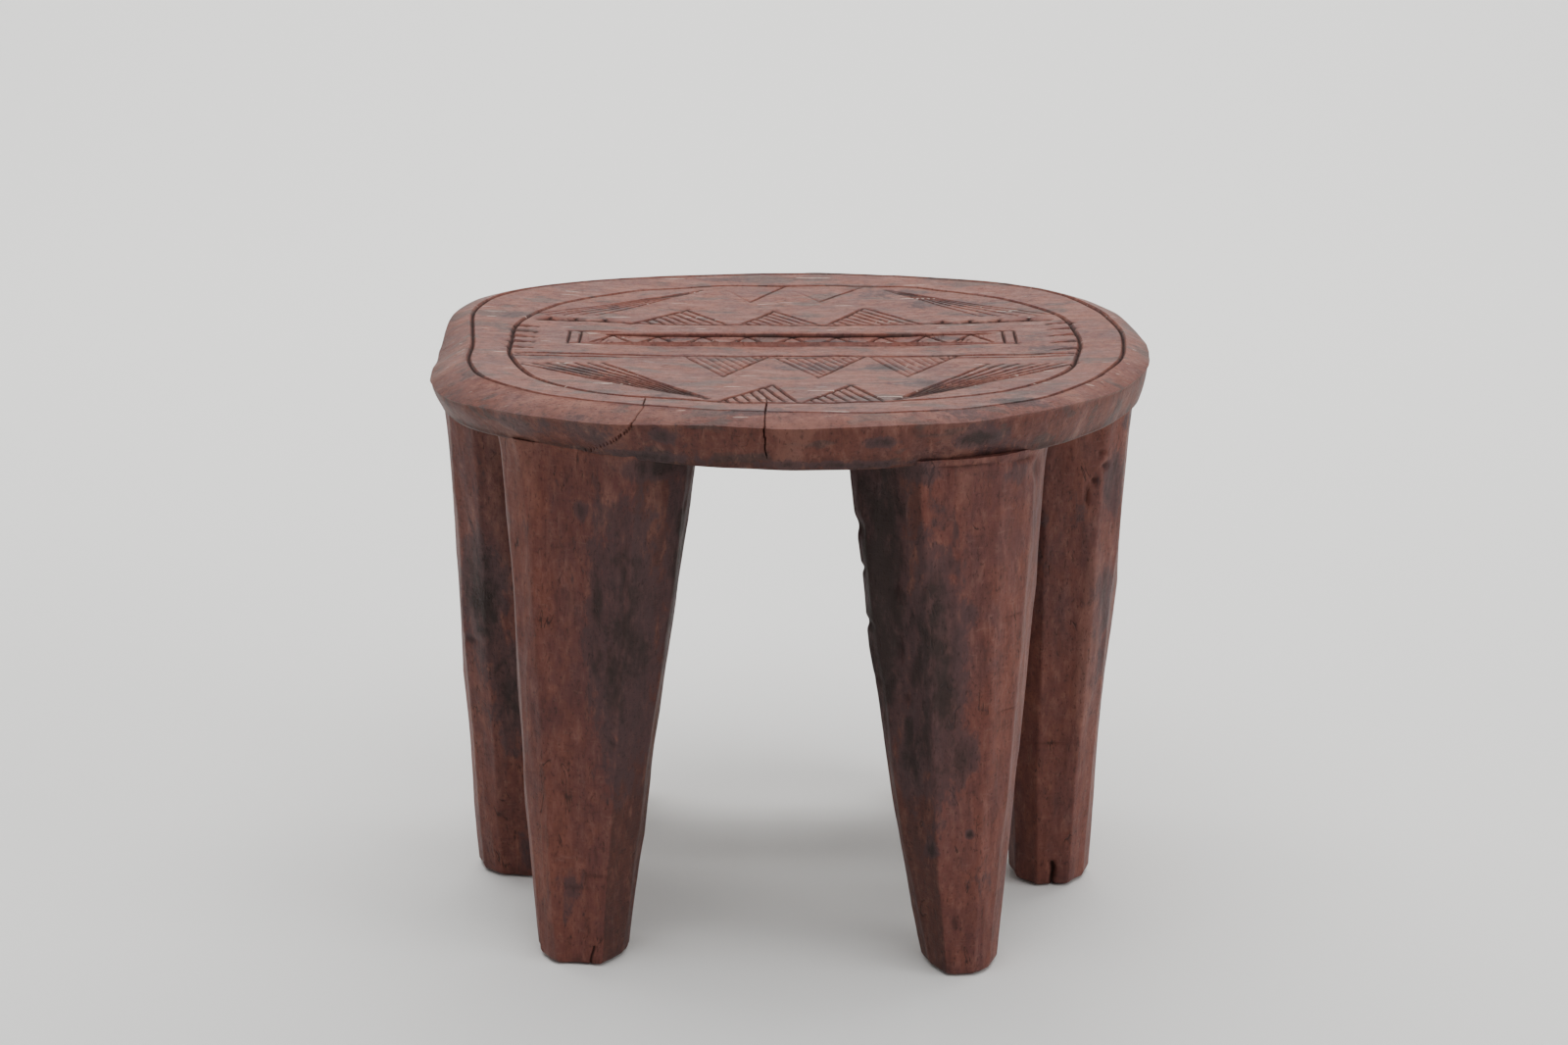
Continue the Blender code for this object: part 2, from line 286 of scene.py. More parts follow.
def pattern():
    """Every straight cut on the seat: (start, end, width, depth) in millimetres."""
    cuts = []

    def line(x0, y0, x1, y1, width=2.0, depth=1.2):
        cuts.append((np.array((x0, y0), dtype=float), np.array((x1, y1), dtype=float), width, depth))

    # The two long lines of the band, each cut in several strokes
    line(-143, 52, -60, 50.5, 2.2, 1.3)
    line(-62, 50.8, 20, 49.2, 2.0, 1.2)
    line(18, 49.0, 84, 50.3, 2.1, 1.2)
    line(82, 50.0, 150, 52, 2.2, 1.3)
    line(-152, -21, -56, -19.6, 2.8, 1.7)
    line(-58, -19.9, 42, -21.6, 2.6, 1.6)
    line(40, -21.3, 158, -22.6, 2.8, 1.7)
    line(-152, -26.8, -96, -25.6, 2.2, 1.3)
    line(-98, -25.4, -62, -24.4, 1.6, 0.8)
    line(-20, -25.2, 34, -26.0, 1.5, 0.7)
    line(84, -27.2, 157, -28.6, 2.2, 1.3)
    # Chip cuts standing on the band's back line
    for x in (-139, -124, -107, 88, 104, 121, 138):
        line(x - 5.5, 52.6, x + 5.5, 53.0, 4.2, 2.2)
        line(x - 3.0, 54.6, x + 2.5, 54.8, 3.6, 2.0)
        line(x - 0.8, 55.5, x + 1.0, 58.0, 2.8, 1.6)
    # Short teeth at both ends of the seat
    for y in (38, 27, 15.5, 4, -8):
        line(-158, y, -150, y - 0.4, 4.4, 2.0)
        line(-152, y - 0.3, -144, y - 1.4, 2.4, 1.4)
    for y in (44, 31, 17.5, 3, -12):
        line(156, y, 163, y + 0.5, 4.2, 1.9)
        line(148, y - 1.2, 158, y + 0.2, 2.2, 1.3)
    # Long frame in the middle of the band, with end bars
    line(-125, 30, 0, 29.2, 1.8, 1.1)
    line(-2, 29.4, 128, 30.4, 1.9, 1.2)
    line(-125, 2.5, 128, 2.5, 1.7, 0.9)
    for x in (-125, -118.5, 121.5, 128):
        line(x, 2.5, x, 30, 2.0, 1.3)
    # Triangles behind the band, in front of it and along the front of the seat
    for triangle in (((-92, 50), (-35, 50), (-60, 83), 8, 1.15),
                     ((-29, 50), (18, 50), (-9, 82), 7, 1.05, 1.0),
                     ((21, 50), (77, 50), (44, 88), 8, 1.1, 2.0),
                     ((-11, -21), (-58, -21), (-36, -66), 9, 1.0, 0.5, 0.6),
                     ((42, -22), (-9, -22), (16, -68), 10, 1.0, 1.5, 0.6),
                     ((93, -23), (45, -23), (64, -66), 9, 1.0, 2.5, 0.6),
                     ((-38, -126), (4, -127), (-9, -86), 7, 1.15, 0.3),
                     ((7, -127), (50, -125), (33, -86), 7, 1.15, 1.3)):
        cuts.extend(hatched_triangle(*triangle))
    # Two worn points at the back
    line(-36, 124, -23, 102, 1.2, 0.3)
    line(-23, 102, -3, 134, 1.8, 0.9)
    line(4, 124, 18, 102, 1.2, 0.3)
    line(18, 102, 42, 132, 1.8, 0.9)
    for corner in (((-147, -46), (-103, -39), (-41, -122), 7, 1.15),
                   ((158, -46), (109, -43), (54, -123), 7, 1.15),
                   ((-149, 62), (-112, 66), (-50, 128), 5, 0.75),
                   ((154, 63), (112, 66), (56, 128), 5, 0.75)):
        cuts.extend(fan(*corner))
    # Splits in the seat, which go on down the rim
    line(-12.6, -112, -12.0, -128, 0.6, 0.9)
    line(-12.0, -127, -12.8, -150.5, 0.9, 2.0)
    line(-76, -118, -76.6, -136, 0.8, 1.2)
    # Zigzag on the sunken floor of the frame, hatched in turn
    steps = 9
    for i in range(steps):
        x = -113 + 229 * i / steps
        half = 229 / steps / 2
        line(x, 7.0, x + half, 25.5, 2.2, 1.5)
        line(x + half, 25.5, x + 2 * half, 7.0, 2.2, 1.5)
        for k in (0.25, 0.5, 0.75):
            line(x + half * (k + 0.15), 7.0, x + half * (0.55 + k * 0.6), 7.0 + 15 * (1 - k), 1.3, 0.8)
            line(x + half * (1.1 + k * 0.9), 24.5, x + half * (1.25 + k * 0.6), 24.5 - 12 * (1 - k), 1.1, 0.5)
    return [(a * MM, b * MM, w * CUT_SPREAD * MM, d * MM) for a, b, w, d in cuts]


# The sunken floor of the band's frame: left, right, front and back
SLOT = (-0.1155, 0.1185, 0.0050, 0.0275)
SLOT_WALL = 0.0016
SLOT_DEPTH = 0.0006
CUT_SPREAD = 1.3            # handling has opened and rounded the cuts
DRAWN_LINE_DEPTH = 0.0016   # the line depth that the pattern's own depths go with


def top_height(x, y, edge_share, cuts, grooves):
    """Depth of the seat's top below its rim, and how far each point is down a cut that holds dirt."""
    reach = np.clip(edge_share, 0, 1)
    dish = sizes().dish * (1 - reach ** 2)
    # Slow unevenness left by the hand, and long flats left by the blade
    hand = 0.0005 * wander(x, y, 0 * x, 0.045, 3.0) + 0.00022 * wander(x, y, 0 * x, 0.014, 9.0)
    flats = wander(x * 0.35, y, 0 * x, 0.012, 5.0) * 0.00015
    cut = np.zeros_like(x)
    share = np.zeros_like(x)
    depth_scale = sizes().line_depth / DRAWN_LINE_DEPTH
    for start, end, width, depth in cuts:
        low = np.minimum(start, end) - width
        high = np.maximum(start, end) + width
        near = np.nonzero((x > low[0]) & (x < high[0]) & (y > low[1]) & (y < high[1]))[0]
        if not len(near):
            continue
        along = end - start
        t = ((x[near] - start[0]) * along[0] + (y[near] - start[1]) * along[1]) / along.dot(along)
        t = np.clip(t, 0, 1)
        away = np.hypot(x[near] - start[0] - t * along[0], y[near] - start[1] - t * along[1])
        v = np.clip(1 - away / (width / 2), 0, 1)
        fade = np.minimum(1, 0.35 + 5 * np.minimum(t, 1 - t))
        cut[near] = np.maximum(cut[near], depth * depth_scale * v * fade)
        share[near] = np.maximum(share[near], v * np.minimum(1, depth / 0.0011))
    for away, width, depth in grooves:
        v = np.clip(1 - np.abs(away) / (width / 2), 0, 1)
        cut = np.maximum(cut, depth * depth_scale * v)
        share = np.maximum(share, v)
    left, right, front, back = SLOT
    inside = np.minimum(np.minimum(x - left, right - x), np.minimum(y - front, back - y))
    sunk = np.clip(inside / SLOT_WALL, 0, 1)
    depth = dish - hand - flats + cut + SLOT_DEPTH * sunk
    return depth, share


SEAT_AROUND = 560
SPLIT_MARGIN = 0.02         # radians of closer points on either side of a split
CLOSEST_ANGLES = 0.0012
LINE_AROUND = 260
CUT_STEP = 0.005
TOP_SPACING = 0.0036
TOP_INSET = 0.0165          # of the outermost even points, in from the seat's sides and ends
TOP_CLEAR = 0.0040          # the even points keep this far from the bevel


def seat_angles():
    """Angles round the seat, closer together at the splits in the rim."""
    angles = list(np.linspace(-math.pi, math.pi, SEAT_AROUND, endpoint=False))
    for middle, drift, _, half in RIM_SPLITS:
        middle = math.radians(middle)
        span = drift / RIM_RADIUS
        low = min(0, span) - SPLIT_MARGIN
        high = max(0, span) + SPLIT_MARGIN
        angles.extend(middle + np.arange(low, high, half / RIM_RADIUS / 1.6))
    angles = np.sort(wrapped(np.array(angles)))
    keep = np.concatenate(([True], np.diff(angles) > CLOSEST_ANGLES))
    return angles[keep]


def seat_top(angles):
    """Triangulate the top so that each cut has its own two edges and its bottom line."""
    points = []
    edges = []

    def add_path(xs, ys, closed):
        first = len(points)
        points.extend(Vector((float(a), float(b))) for a, b in zip(xs, ys))
        count = len(xs)
        for i in range(count if closed else count - 1):
            edges.append((first + i, first + (i + 1) % count))

    border_x, border_y = outline(angles, bevel_width(angles))
    add_path(border_x, border_y, True)
    line_angles = np.linspace(0, 2 * math.pi, LINE_AROUND, endpoint=False)
    rim_line = outline(line_angles, bevel_width(line_angles) + RIM_LINE_INSET)
    add_path(*rim_line, True)
    add_path(*outline(line_angles, bevel_width(line_angles) + RIM_LINE[0]), True)
    ring_x, ring_y = ring_point(line_angles)
    for edge in (-1, 0, 1):
        add_path(*ring_point(line_angles, edge * RING_LINE[0] / 2), True)
    cuts = pattern()
    for start, end, width, _ in cuts:
        along = end - start
        length = np.hypot(*along)
        unit = along / length
        side = np.array((-unit[1], unit[0])) * width / 2
        count = max(2, int(length / CUT_STEP) + 1)
        t = np.linspace(0, 1, count)
        add_path(start[0] + along[0] * t, start[1] + along[1] * t, False)
        inner = np.linspace(min(0.3, width / length), 1 - min(0.3, width / length), count)
        for turn in (-1, 1):
            xs = np.concatenate(([start[0]], start[0] + along[0] * inner + turn * side[0], [end[0]]))
            ys = np.concatenate(([start[1]], start[1] + along[1] * inner + turn * side[1], [end[1]]))
            add_path(xs, ys, False)
    left, right, front, back = SLOT
    for inset in (0.0, SLOT_WALL):
        xs = np.array((left + inset, right - inset, right - inset, left + inset))
        ys = np.array((front + inset, front + inset, back - inset, back - inset))
        add_path(xs, ys, True)

    # Even points between the cuts, each row moved half a step against the last
    half_x = sizes().seat_width / 2 - TOP_INSET
    half_y = sizes().seat_depth / 2 - TOP_INSET
    grid = []
    for i in range(int(2 * half_x / TOP_SPACING) + 2):
        for j in range(int(2 * half_y / TOP_SPACING) + 2):
            x = -half_x + (i + 0.5 * (j % 2)) * TOP_SPACING
            y = -half_y + j * TOP_SPACING
            grid.append((x, y))
    grid = np.array(grid)
    angle = np.arctan2(grid[:, 1], grid[:, 0])
    limit_x, limit_y = outline(angle, bevel_width(angle) + TOP_CLEAR)
    inside = np.hypot(grid[:, 0], grid[:, 1]) < np.hypot(limit_x, limit_y)
    points.extend(Vector((float(a), float(b))) for a, b in grid[inside])

    flat, _, faces, _, _, _ = delaunay_2d_cdt(points, edges, [], 1, 2e-5)
    x = np.array([p.x for p in flat])
    y = np.array([p.y for p in flat])
    angle = np.arctan2(y, x)
    edge_x, edge_y = outline(angle, bevel_width(angle))
    share = np.hypot(x, y) / np.hypot(edge_x, edge_y)
    rim_away = np.hypot(x, y) - np.interp(angle, *sorted_ring(*rim_line))
    middle_x, middle_y = RING_MIDDLE
    ring_radius = np.interp(np.arctan2(y - middle_y, x - middle_x),
                            *sorted_ring(ring_x - middle_x, ring_y - middle_y))
    ring_away = np.hypot(x - middle_x, y - middle_y) - ring_radius
    depth, dirt = top_height(x, y, share, cuts, ((ring_away, *RING_LINE), (rim_away, *RIM_LINE)))
    depth[share > 0.9999] = 0.0
    z = sizes().seat_height - depth
    return np.stack((x, y, z), 1), [tuple(f) for f in faces], dirt, (border_x, border_y)


def sorted_ring(x, y):
    """Angle and radius of a closed ring, padded so that it can be read at any angle."""
    angle = np.arctan2(y, x)
    order = np.argsort(angle)
    angle = angle[order]
    radius = np.hypot(x, y)[order]
    return (np.concatenate((angle[-3:] - 2 * math.pi, angle, angle[:3] + 2 * math.pi)),
            np.concatenate((radius[-3:], radius, radius[:3])))


def split_share(angle, drop):
    """How deep in a rim split a point is, from its angle and its depth below the top."""
    share = np.zeros_like(angle)
    for middle, drift, length, half in RIM_SPLITS:
        t = np.clip(drop / length, 0, 1.05)
        jog = 0.0003 * np.sin(drop * 700 + middle) + 0.00022 * np.sin(drop * 1900)
        centre = math.radians(middle) + (drift * t * t + jog) / RIM_RADIUS
        away = wrapped(angle - centre) * RIM_RADIUS
        width = half * (0.4 + 0.9 * np.clip(1.1 - t, 0, 1) ** 0.5)
        share = np.maximum(share, np.clip(1 - np.abs(away) / width, 0, 1) * (t < 1.02))
    return share


RIM_ROWS = 15
RIM_CUTS = 64
RIM_CUT_WIDTH = 0.014
RIM_SPLIT_DEPTH = 0.0035
UNDERSIDE_INSETS = (0.018, 0.030, 0.045, 0.062, 0.082, 0.105, 0.130, 0.152)


def rim_rings(angles, thick):
    """Rings down the bevel, round the worn edge, down the rim and under it.

    Each has its inset and its drop below the top, and how much of the rim's carving it takes.
    """
    lean = RIM_LEAN + lobes(angles, LEAN_LOBES)
    bevel = bevel_width(angles)
    edge = BEVEL_DROP + 0.25 * (bevel - BEVEL_WIDTH) + lobes(angles, DROP_LOBES)
    edge = edge + 0.0006 * np.sin(11 * angles)
    rings = []
    for t in np.linspace(0, 1, 9)[1:]:
        rings.append((bevel * (1 - t), edge * (0.86 * t + 0.14 * t ** 3), 1.0))
    for i in range(1, RIM_ROWS + 1):
        t = i / RIM_ROWS
        inset = lean * (t ** 1.3) + 0.0010 * (1 - t) ** 4
        rings.append((inset, edge + (thick - RIM_FOOT_ROUND - edge) * t, 1.0))
    for t in (0.35, 0.7, 1.0):
        turn = t * math.pi / 2
        inset = lean + RIM_FOOT_ROUND * (1 - math.cos(turn))
        rings.append((inset, thick - RIM_FOOT_ROUND + RIM_FOOT_ROUND * math.sin(turn), 0.5))
    for inset in UNDERSIDE_INSETS:
        level = smooth_step(0.012, 0.045, inset)
        rings.append((inset + lean * 0.3, thick + (sizes().seat_thickness - thick) * level, 0.0))
    return rings


def make_seat():
    angles = seat_angles()
    count = len(angles)
    verts, faces, dirt, (border_x, border_y) = seat_top(angles)
    height = sizes().seat_height
    thick = sizes().seat_thickness + lobes(angles, THICK_LOBES)
    # Long flat cuts of the blade round the rim
    rng = np.random.RandomState(sizes().seed)
    cut_angle = np.sort(rng.uniform(-math.pi, math.pi, RIM_CUTS))
    cut_level = rng.uniform(-0.5, 0.5, RIM_CUTS)
    ring_verts = []
    ring_dirt = []
    ring_cuts = []
    for inset, drop, rim in rim_rings(angles, thick):
        x, y = outline(angles, inset)
        away = wrapped(angles[:, None] - cut_angle[None, :]) * RIM_RADIUS / RIM_CUT_WIDTH
        level = (drop / thick)[:, None] - 0.6 + cut_level[None, :]
        bowl = np.minimum((away ** 2 + (level * 1.3) ** 2).min(1), 1.6)
        radius = np.hypot(x, y)
        shift = 0.0004 * (bowl - 0.5) * rim * smooth_step(0.0006, 0.004, drop)
        shift += 0.0005 * wander(x, y, drop, 0.020, 2.0) * rim * smooth_step(0.0006, 0.004, drop)
        split = split_share(angles, drop) * min(1.0, rim * 2)
        shift -= RIM_SPLIT_DEPTH * split
        x = x * (1 + shift / radius)
        y = y * (1 + shift / radius)
        low = height - drop
        if rim < 0.2:
            low = low + 0.0006 * wander(x, y, 0 * x, 0.018, 6.0)
        ring_verts.append(np.stack((x, y, low), 1))
        ring_dirt.append(split)
        ring_cuts.append(bowl * rim)
    # The bevel starts from the top's own border points, found again by their places
    previous = []
    for x, y in zip(border_x, border_y):
        previous.append(int(np.argmin((verts[:, 0] - x) ** 2 + (verts[:, 1] - y) ** 2)))
    hub = np.array([[0, 0, height - sizes().seat_thickness]])
    points = np.concatenate([verts] + ring_verts + [hub])
    faces = [f for f in faces if len(set(f)) == 3]
    for r in range(len(ring_verts)):
        current = [len(verts) + r * count + i for i in range(count)]
        for i in range(count):
            j = (i + 1) % count
            faces.append((previous[i], current[i], current[j], previous[j]))
        previous = current
    for i in range(count):
        faces.append((previous[i], len(points) - 1, previous[(i + 1) % count]))
    # 0 on the top, rising across the bevel to 1 on the rim and underside, where the wood paints shade
    side = [np.full(count, smooth_step(0, 8, r)) for r in range(len(ring_verts))]
    # Only the upper part is lifted, so the underside stays on the legs
    turn = np.arctan2(points[:, 1], points[:, 0])
    share = np.hypot(points[:, 0], points[:, 1]) / np.hypot(*outline(turn))
    upper = smooth_step(height - 0.020, height - 0.004, points[:, 2])
    points[:, 2] += lobes(turn, LIFT_LOBES) * share ** 3 * upper
    layers = {
        "dirt": np.concatenate([dirt] + ring_dirt + [np.zeros(1)]),
        "soot_and_shade": blots(points, SEAT_BLOTS),
        "ridge": np.concatenate([np.zeros(len(verts))] + ring_cuts + [np.zeros(1)]),
        "side": np.concatenate([np.zeros(len(verts))] + side + [np.ones(1)]),
        "inner": seat_painted_shade(points),
    }
    piece = make_object("seat_carved", points, faces, "stained_hardwood_seat", layers, 32)
    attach(piece, "root")
    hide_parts("seat")
    return piece


def blots(points, parts):
    """Soft-edged marks: (x, y, z, reach along x, y and z, strength), lengths in millimetres."""
    total = np.zeros(len(points))
    for x, y, z, rx, ry, rz, strength in parts:
        away = ((points - np.array((x, y, z)) * MM) / (np.array((rx, ry, rz)) * MM)) ** 2
        total = np.maximum(total, strength * np.exp(-away.sum(1) ** 1.3))
    return total


# Smoke marks on the seat, mostly short and lying along its length, then those on its rim; the wide flat marks
# low on the front of the rim are painted shade under its edge
SEAT_BLOTS = (
    (-140, -30, 320, 26, 8, 30, 0.5), (-118, -56, 320, 22, 7, 30, 0.8), (-60, -112, 320, 16, 6, 30, 0.6),
    (-20, -148, 320, 20, 7, 30, 0.7), (30, -140, 320, 12, 5, 30, 0.5), (10, -44, 320, 26, 10, 30, 0.55),
    (52, -46, 320, 14, 9, 30, 0.8), (70, -84, 320, 15, 8, 30, 0.7), (90, 96, 320, 24, 8, 30, 0.7),
    (110, 70, 320, 16, 6, 30, 0.6), (-40, 150, 320, 24, 5, 30, 0.5), (60, 120, 320, 30, 12, 30, 0.5),
    (-160, 60, 320, 14, 10, 30, 0.4), (148, -10, 320, 18, 6, 30, 0.6), (-60, 20, 320, 20, 5, 30, 0.5),
    (20, 14, 320, 30, 6, 30, 0.55), (90, 20, 320, 14, 6, 30, 0.6), (-100, 84, 320, 20, 6, 30, 0.4),
    (120, -128, 318, 16, 8, 12, 0.9), (90, -148, 314, 16, 9, 12, 0.7), (46, -160, 309, 12, 8, 4, 0.9),
    (96, -150, 308, 14, 10, 7, 0.9), (-66, -158, 310, 9, 9, 6, 0.8), (-84, -150, 297, 40, 20, 4, 0.8),
    (20, -160, 296, 60, 20, 3, 0.6), (-150, -125, 305, 22, 12, 12, 0.6), (112, -140, 300, 20, 14, 5, 0.6),
    (-100, -140, 306, 12, 10, 8, 0.7), (-80, -150, 302, 30, 16, 6, 0.35),
    (-130, -140, 308, 50, 26, 16, 0.4),
)


def seat_painted_shade(points):
    """Painted shade on the bevel, the rim's face and the seat's underside: darker further down, and most at
    the seat's left end.
    """
    drop = SEAT_HIGH.z - points[:, 2]
    rim = smooth_step(0.90, 0.93, np.hypot(points[:, 0], points[:, 1])
                      / np.hypot(*outline(np.arctan2(points[:, 1], points[:, 0]))))
    shade = 0.14 * smooth_step(0.0004, 0.002, drop) * rim + 0.24 * smooth_step(0.004, 0.008, drop)
    shade += 0.80 * smooth_step(0.018, 0.028, drop)
    return shade * (0.8 + 0.2 * smooth_step(0.05, -0.12, points[:, 0]))


class STOOL_OT_seat(bpy.types.Operator):
    """Carve the oval seat with its dished top, cut lines, bevelled rim and splits"""
    bl_idname = "stool.seat"
    bl_label = "Seat"

    def execute(self, context):
        make_seat()
        return {"FINISHED"}


# ---------------- legs

# Sections in millimetres, seen from above: the top one lies under the seat and the foot on the floor
LEG_SECTIONS = {
    "leg_front_left": (
        ((-157, -84), (-155, -98), (-143, -112), (-80, -144), (-51, -124),
         (-48, -100), (-55, -74), (-72, -62), (-122, -60), (-150, -68)),
        ((-140, -108), (-138, -120), (-128, -132), (-103, -135), (-92, -122),
         (-89, -110), (-92, -96), (-102, -88), (-124, -88), (-136, -96)),
    ),
    "leg_front_right": (
        ((29, -114), (34, -126), (68, -154), (112, -142), (132, -124),
         (139, -104), (137, -78), (120, -64), (60, -62), (36, -76)),
        ((74, -124), (77, -136), (86, -148), (101, -148), (110, -140),
         (115, -127), (113, -112), (104, -103), (86, -103), (77, -110)),
    ),
    "leg_side_left": (
        ((-118, -42), (-140, -49), (-176, -42), (-191, -24), (-195, 4),
         (-191, 30), (-174, 48), (-138, 52), (-120, 44), (-114, 4)),
        ((-141, -8), (-150, -14), (-168, -12), (-180, -3), (-184, 10),
         (-181, 24), (-168, 33), (-150, 34), (-140, 26), (-137, 10)),
    ),
    "leg_side_right": (
        ((120, -44), (142, -50), (176, -43), (191, -26), (195, -2),
         (191, 28), (174, 46), (142, 50), (120, 42), (114, -2)),
        ((133, -16), (144, -26), (163, -25), (173, -14), (177, 0),
         (172, 14), (160, 23), (145, 24), (134, 16), (130, 0)),
    ),
    "leg_rear_left": (
        ((-156, 80), (-153, 99), (-128, 122), (-86, 140), (-62, 124),
         (-57, 102), (-62, 76), (-78, 63), (-122, 60), (-149, 67)),
        ((-141, 108), (-137, 122), (-124, 132), (-107, 132), (-97, 122),
         (-93, 110), (-96, 97), (-105, 90), (-124, 90), (-137, 98)),
    ),
    "leg_rear_right": (
        ((45, 106), (49, 124), (76, 145), (112, 136), (132, 118),
         (139, 100), (136, 78), (122, 64), (68, 62), (50, 74)),
        ((76, 112), (80, 126), (90, 137), (103, 137), (113, 129),
         (118, 116), (116, 104), (107, 95), (88, 95), (78, 102)),
    ),
}
# How far each leg swells to its left and right between foot and seat, in millimetres
LEG_SWELL = {
    "leg_front_left": (1.0, -0.8),
    "leg_front_right": (3.8, 0.8),
    "leg_side_left": (1.0, 1.0),
    "leg_side_right": (1.0, -0.8),
    "leg_rear_left": (1.2, 1.0),
    "leg_rear_right": (1.0, 1.2),
}
AROUND = 216
UP = 220
FOOT_ROWS = 6               # closer together than the rest, for the worn edge of the foot
FOOT_HEIGHT = 0.012
LEG_SINK = 0.0012           # how far each leg goes into the seat, so that no gap shows
SOLE_RINGS = (0.93, 0.8, 0.55, 0.28)
SOLE_EDGE = 0.0006          # the sole's worn edge stands this far off the floor
# How many cuts of each blade a leg has, and their reach across and along it: long, shallow adze
# cuts side by side, and finer knife cuts between them
ADZE_CUTS = (120, 0.012, 0.060)
KNIFE_CUTS = (420, 0.006, 0.022)
# Tool slips and chips on the legs: (x, y, z, reach x, y, z, depth), lengths in millimetres
LEG_GOUGES = {
    "leg_front_left": (
        (-150, -100, 248, 5, 5, 7, 1.2), (-128, -118, 198, 12, 8, 1.2, 0.7),
        (-112, -130, 46, 14, 6, 1.4, 0.8), (-104, -134, 54, 10, 6, 1.2, 0.7),
        (-120, -126, 60, 8, 6, 1.2, 0.6), (-52, -118, 262, 5, 6, 4, 1.0),
    ),
    "leg_front_right": (
        (36, -118, 250, 5, 12, 5, 1.8), (42, -118, 196, 5, 12, 3, 1.5), (38, -116, 226, 4, 8, 2.5, 1.3),
        (52, -120, 165, 5, 9, 3, 1.3), (58, -138, 188, 2.0, 8, 8, 1.6), (62, -139, 160, 2.4, 8, 3.0, 1.4),
        (56, -140, 222, 2.2, 8, 6, 1.3), (94, -148, 292, 24, 9, 1.4, 1.4),
        (122, -130, 291, 12, 10, 1.8, 1.6), (132, -122, 284, 4, 8, 7, 1.6),
        (120, -134, 205, 18, 8, 0.9, 0.6), (118, -136, 152, 14, 8, 0.9, 0.5),
        (97, -147, 84, 3, 4, 3, 1.3), (79, -145, 74, 5, 5, 7, 1.1), (90, -150, 32, 3, 5, 6, 0.8),
    ),
    "leg_side_left": (
        (-186, -20, 150, 10, 20, 3, 0.9), (-188, -14, 250, 6, 10, 6, 0.8),
    ),
    "leg_side_right": (
        (166, -40, 243, 1.6, 8, 7, 1.6), (174, -40, 268, 2.2, 7, 2.2, 2.6),
        (176, -38, 260, 2.2, 7, 2.2, 2.4), (170, -40, 252, 2.0, 7, 2.0, 2.2),
        (150, -36, 92, 12, 8, 1.4, 0.7),
    ),
    "leg_rear_left": (
        (-100, 130, 200, 8, 8, 5, 1.2), (-130, 126, 90, 10, 8, 1.4, 0.8),
    ),
    "leg_rear_right": (
        (90, 138, 120, 8, 8, 5, 1.2), (120, 126, 220, 12, 8, 1.2, 0.7),
    ),
}
# Splits that follow the grain: points (x, y, z) on the surface, half width and depth, in millimetres
LEG_SPLITS = {
    "leg_front_left": (((-108, -135, 12), (-109, -135, 0), 0.8, 2.0),),
    "leg_front_right": (((70, -151, 262), (74, -151, 226), 0.6, 1.4),
                        ((74, -151, 226), (77, -151, 150), 0.5, 1.1),
                        ((78, -149, 146), (84, -149, 128), 0.7, 1.2)),
    "leg_side_left": (),
    "leg_side_right": (((153, -27, 15), (154, -26, 0), 1.6, 3.2),
                       ((156, -40, 100), (143, -38, 82), 0.7, 1.2)),
    "leg_rear_left": (((-118, 128, 120), (-120, 128, 60), 0.7, 1.4),),
    "leg_rear_right": (),
}
# Smoke marks on the legs, as on the seat. The large marks on the front legs' faces turned toward each other,
# and the flat bands at the tops of the legs just under the seat, are painted shade
LEG_BLOTS = {
    "leg_front_left": (
        (-86, -140, 190, 26, 24, 92, 0.8), (-64, -136, 288, 30, 26, 9, 0.85),
        (-70, -140, 130, 20, 24, 50, 0.75), (-112, -134, 262, 8, 10, 8, 0.7),
        (-78, -140, 160, 10, 16, 60, 0.8), (-101, -134, 212, 7, 12, 30, 0.72),
        (-98, -134, 160, 6, 12, 20, 0.7), (-100, -136, 262, 14, 12, 12, 0.45),
        (-92, -140, 120, 16, 14, 26, 0.55), (-120, -128, 42, 10, 9, 20, 0.6),
        (-70, -126, 110, 12, 14, 30, 0.55), (-56, -120, 210, 14, 26, 120, 0.8),
        (-140, -110, 246, 6, 8, 8, 0.5),
    ),
    "leg_front_right": (
        (46, -134, 215, 22, 28, 120, 1.05), (76, -150, 180, 22, 16, 84, 0.84),
        (92, -150, 132, 12, 10, 20, 0.76), (64, -144, 128, 12, 14, 34, 0.84),
        (70, -148, 205, 8, 12, 50, 0.72), (60, -136, 290, 30, 26, 8, 0.8), (79, -146, 76, 5, 6, 7, 0.95),
        (97, -148, 85, 3, 6, 3, 0.9), (106, -144, 60, 8, 8, 20, 0.35), (118, -136, 284, 26, 14, 8, 0.4),
        (74, -146, 14, 6, 8, 12, 0.5),
    ),
    "leg_side_left": (
        (-176, -34, 176, 18, 30, 46, 0.92), (-160, -34, 120, 16, 22, 46, 0.85),
        (-190, 0, 262, 12, 22, 14, 0.6), (-176, -30, 250, 8, 20, 30, 0.35),
        (-150, -20, 26, 10, 12, 20, 0.5),
    ),
    "leg_side_right": (
        (182, -34, 250, 11, 20, 24, 0.68), (178, -26, 178, 9, 18, 32, 0.64),
        (158, -42, 230, 10, 14, 22, 0.25), (174, -20, 138, 8, 12, 18, 0.6),
        (190, -14, 282, 10, 22, 8, 0.7), (136, -40, 240, 9, 20, 60, 0.35),
    ),
    "leg_rear_left": (
        (-110, 130, 180, 26, 20, 66, 0.65), (-100, 120, 60, 14, 14, 30, 0.5),
    ),
    "leg_rear_right": (
        (90, 140, 170, 24, 20, 66, 0.65), (110, 126, 90, 14, 14, 26, 0.5),
    ),
}


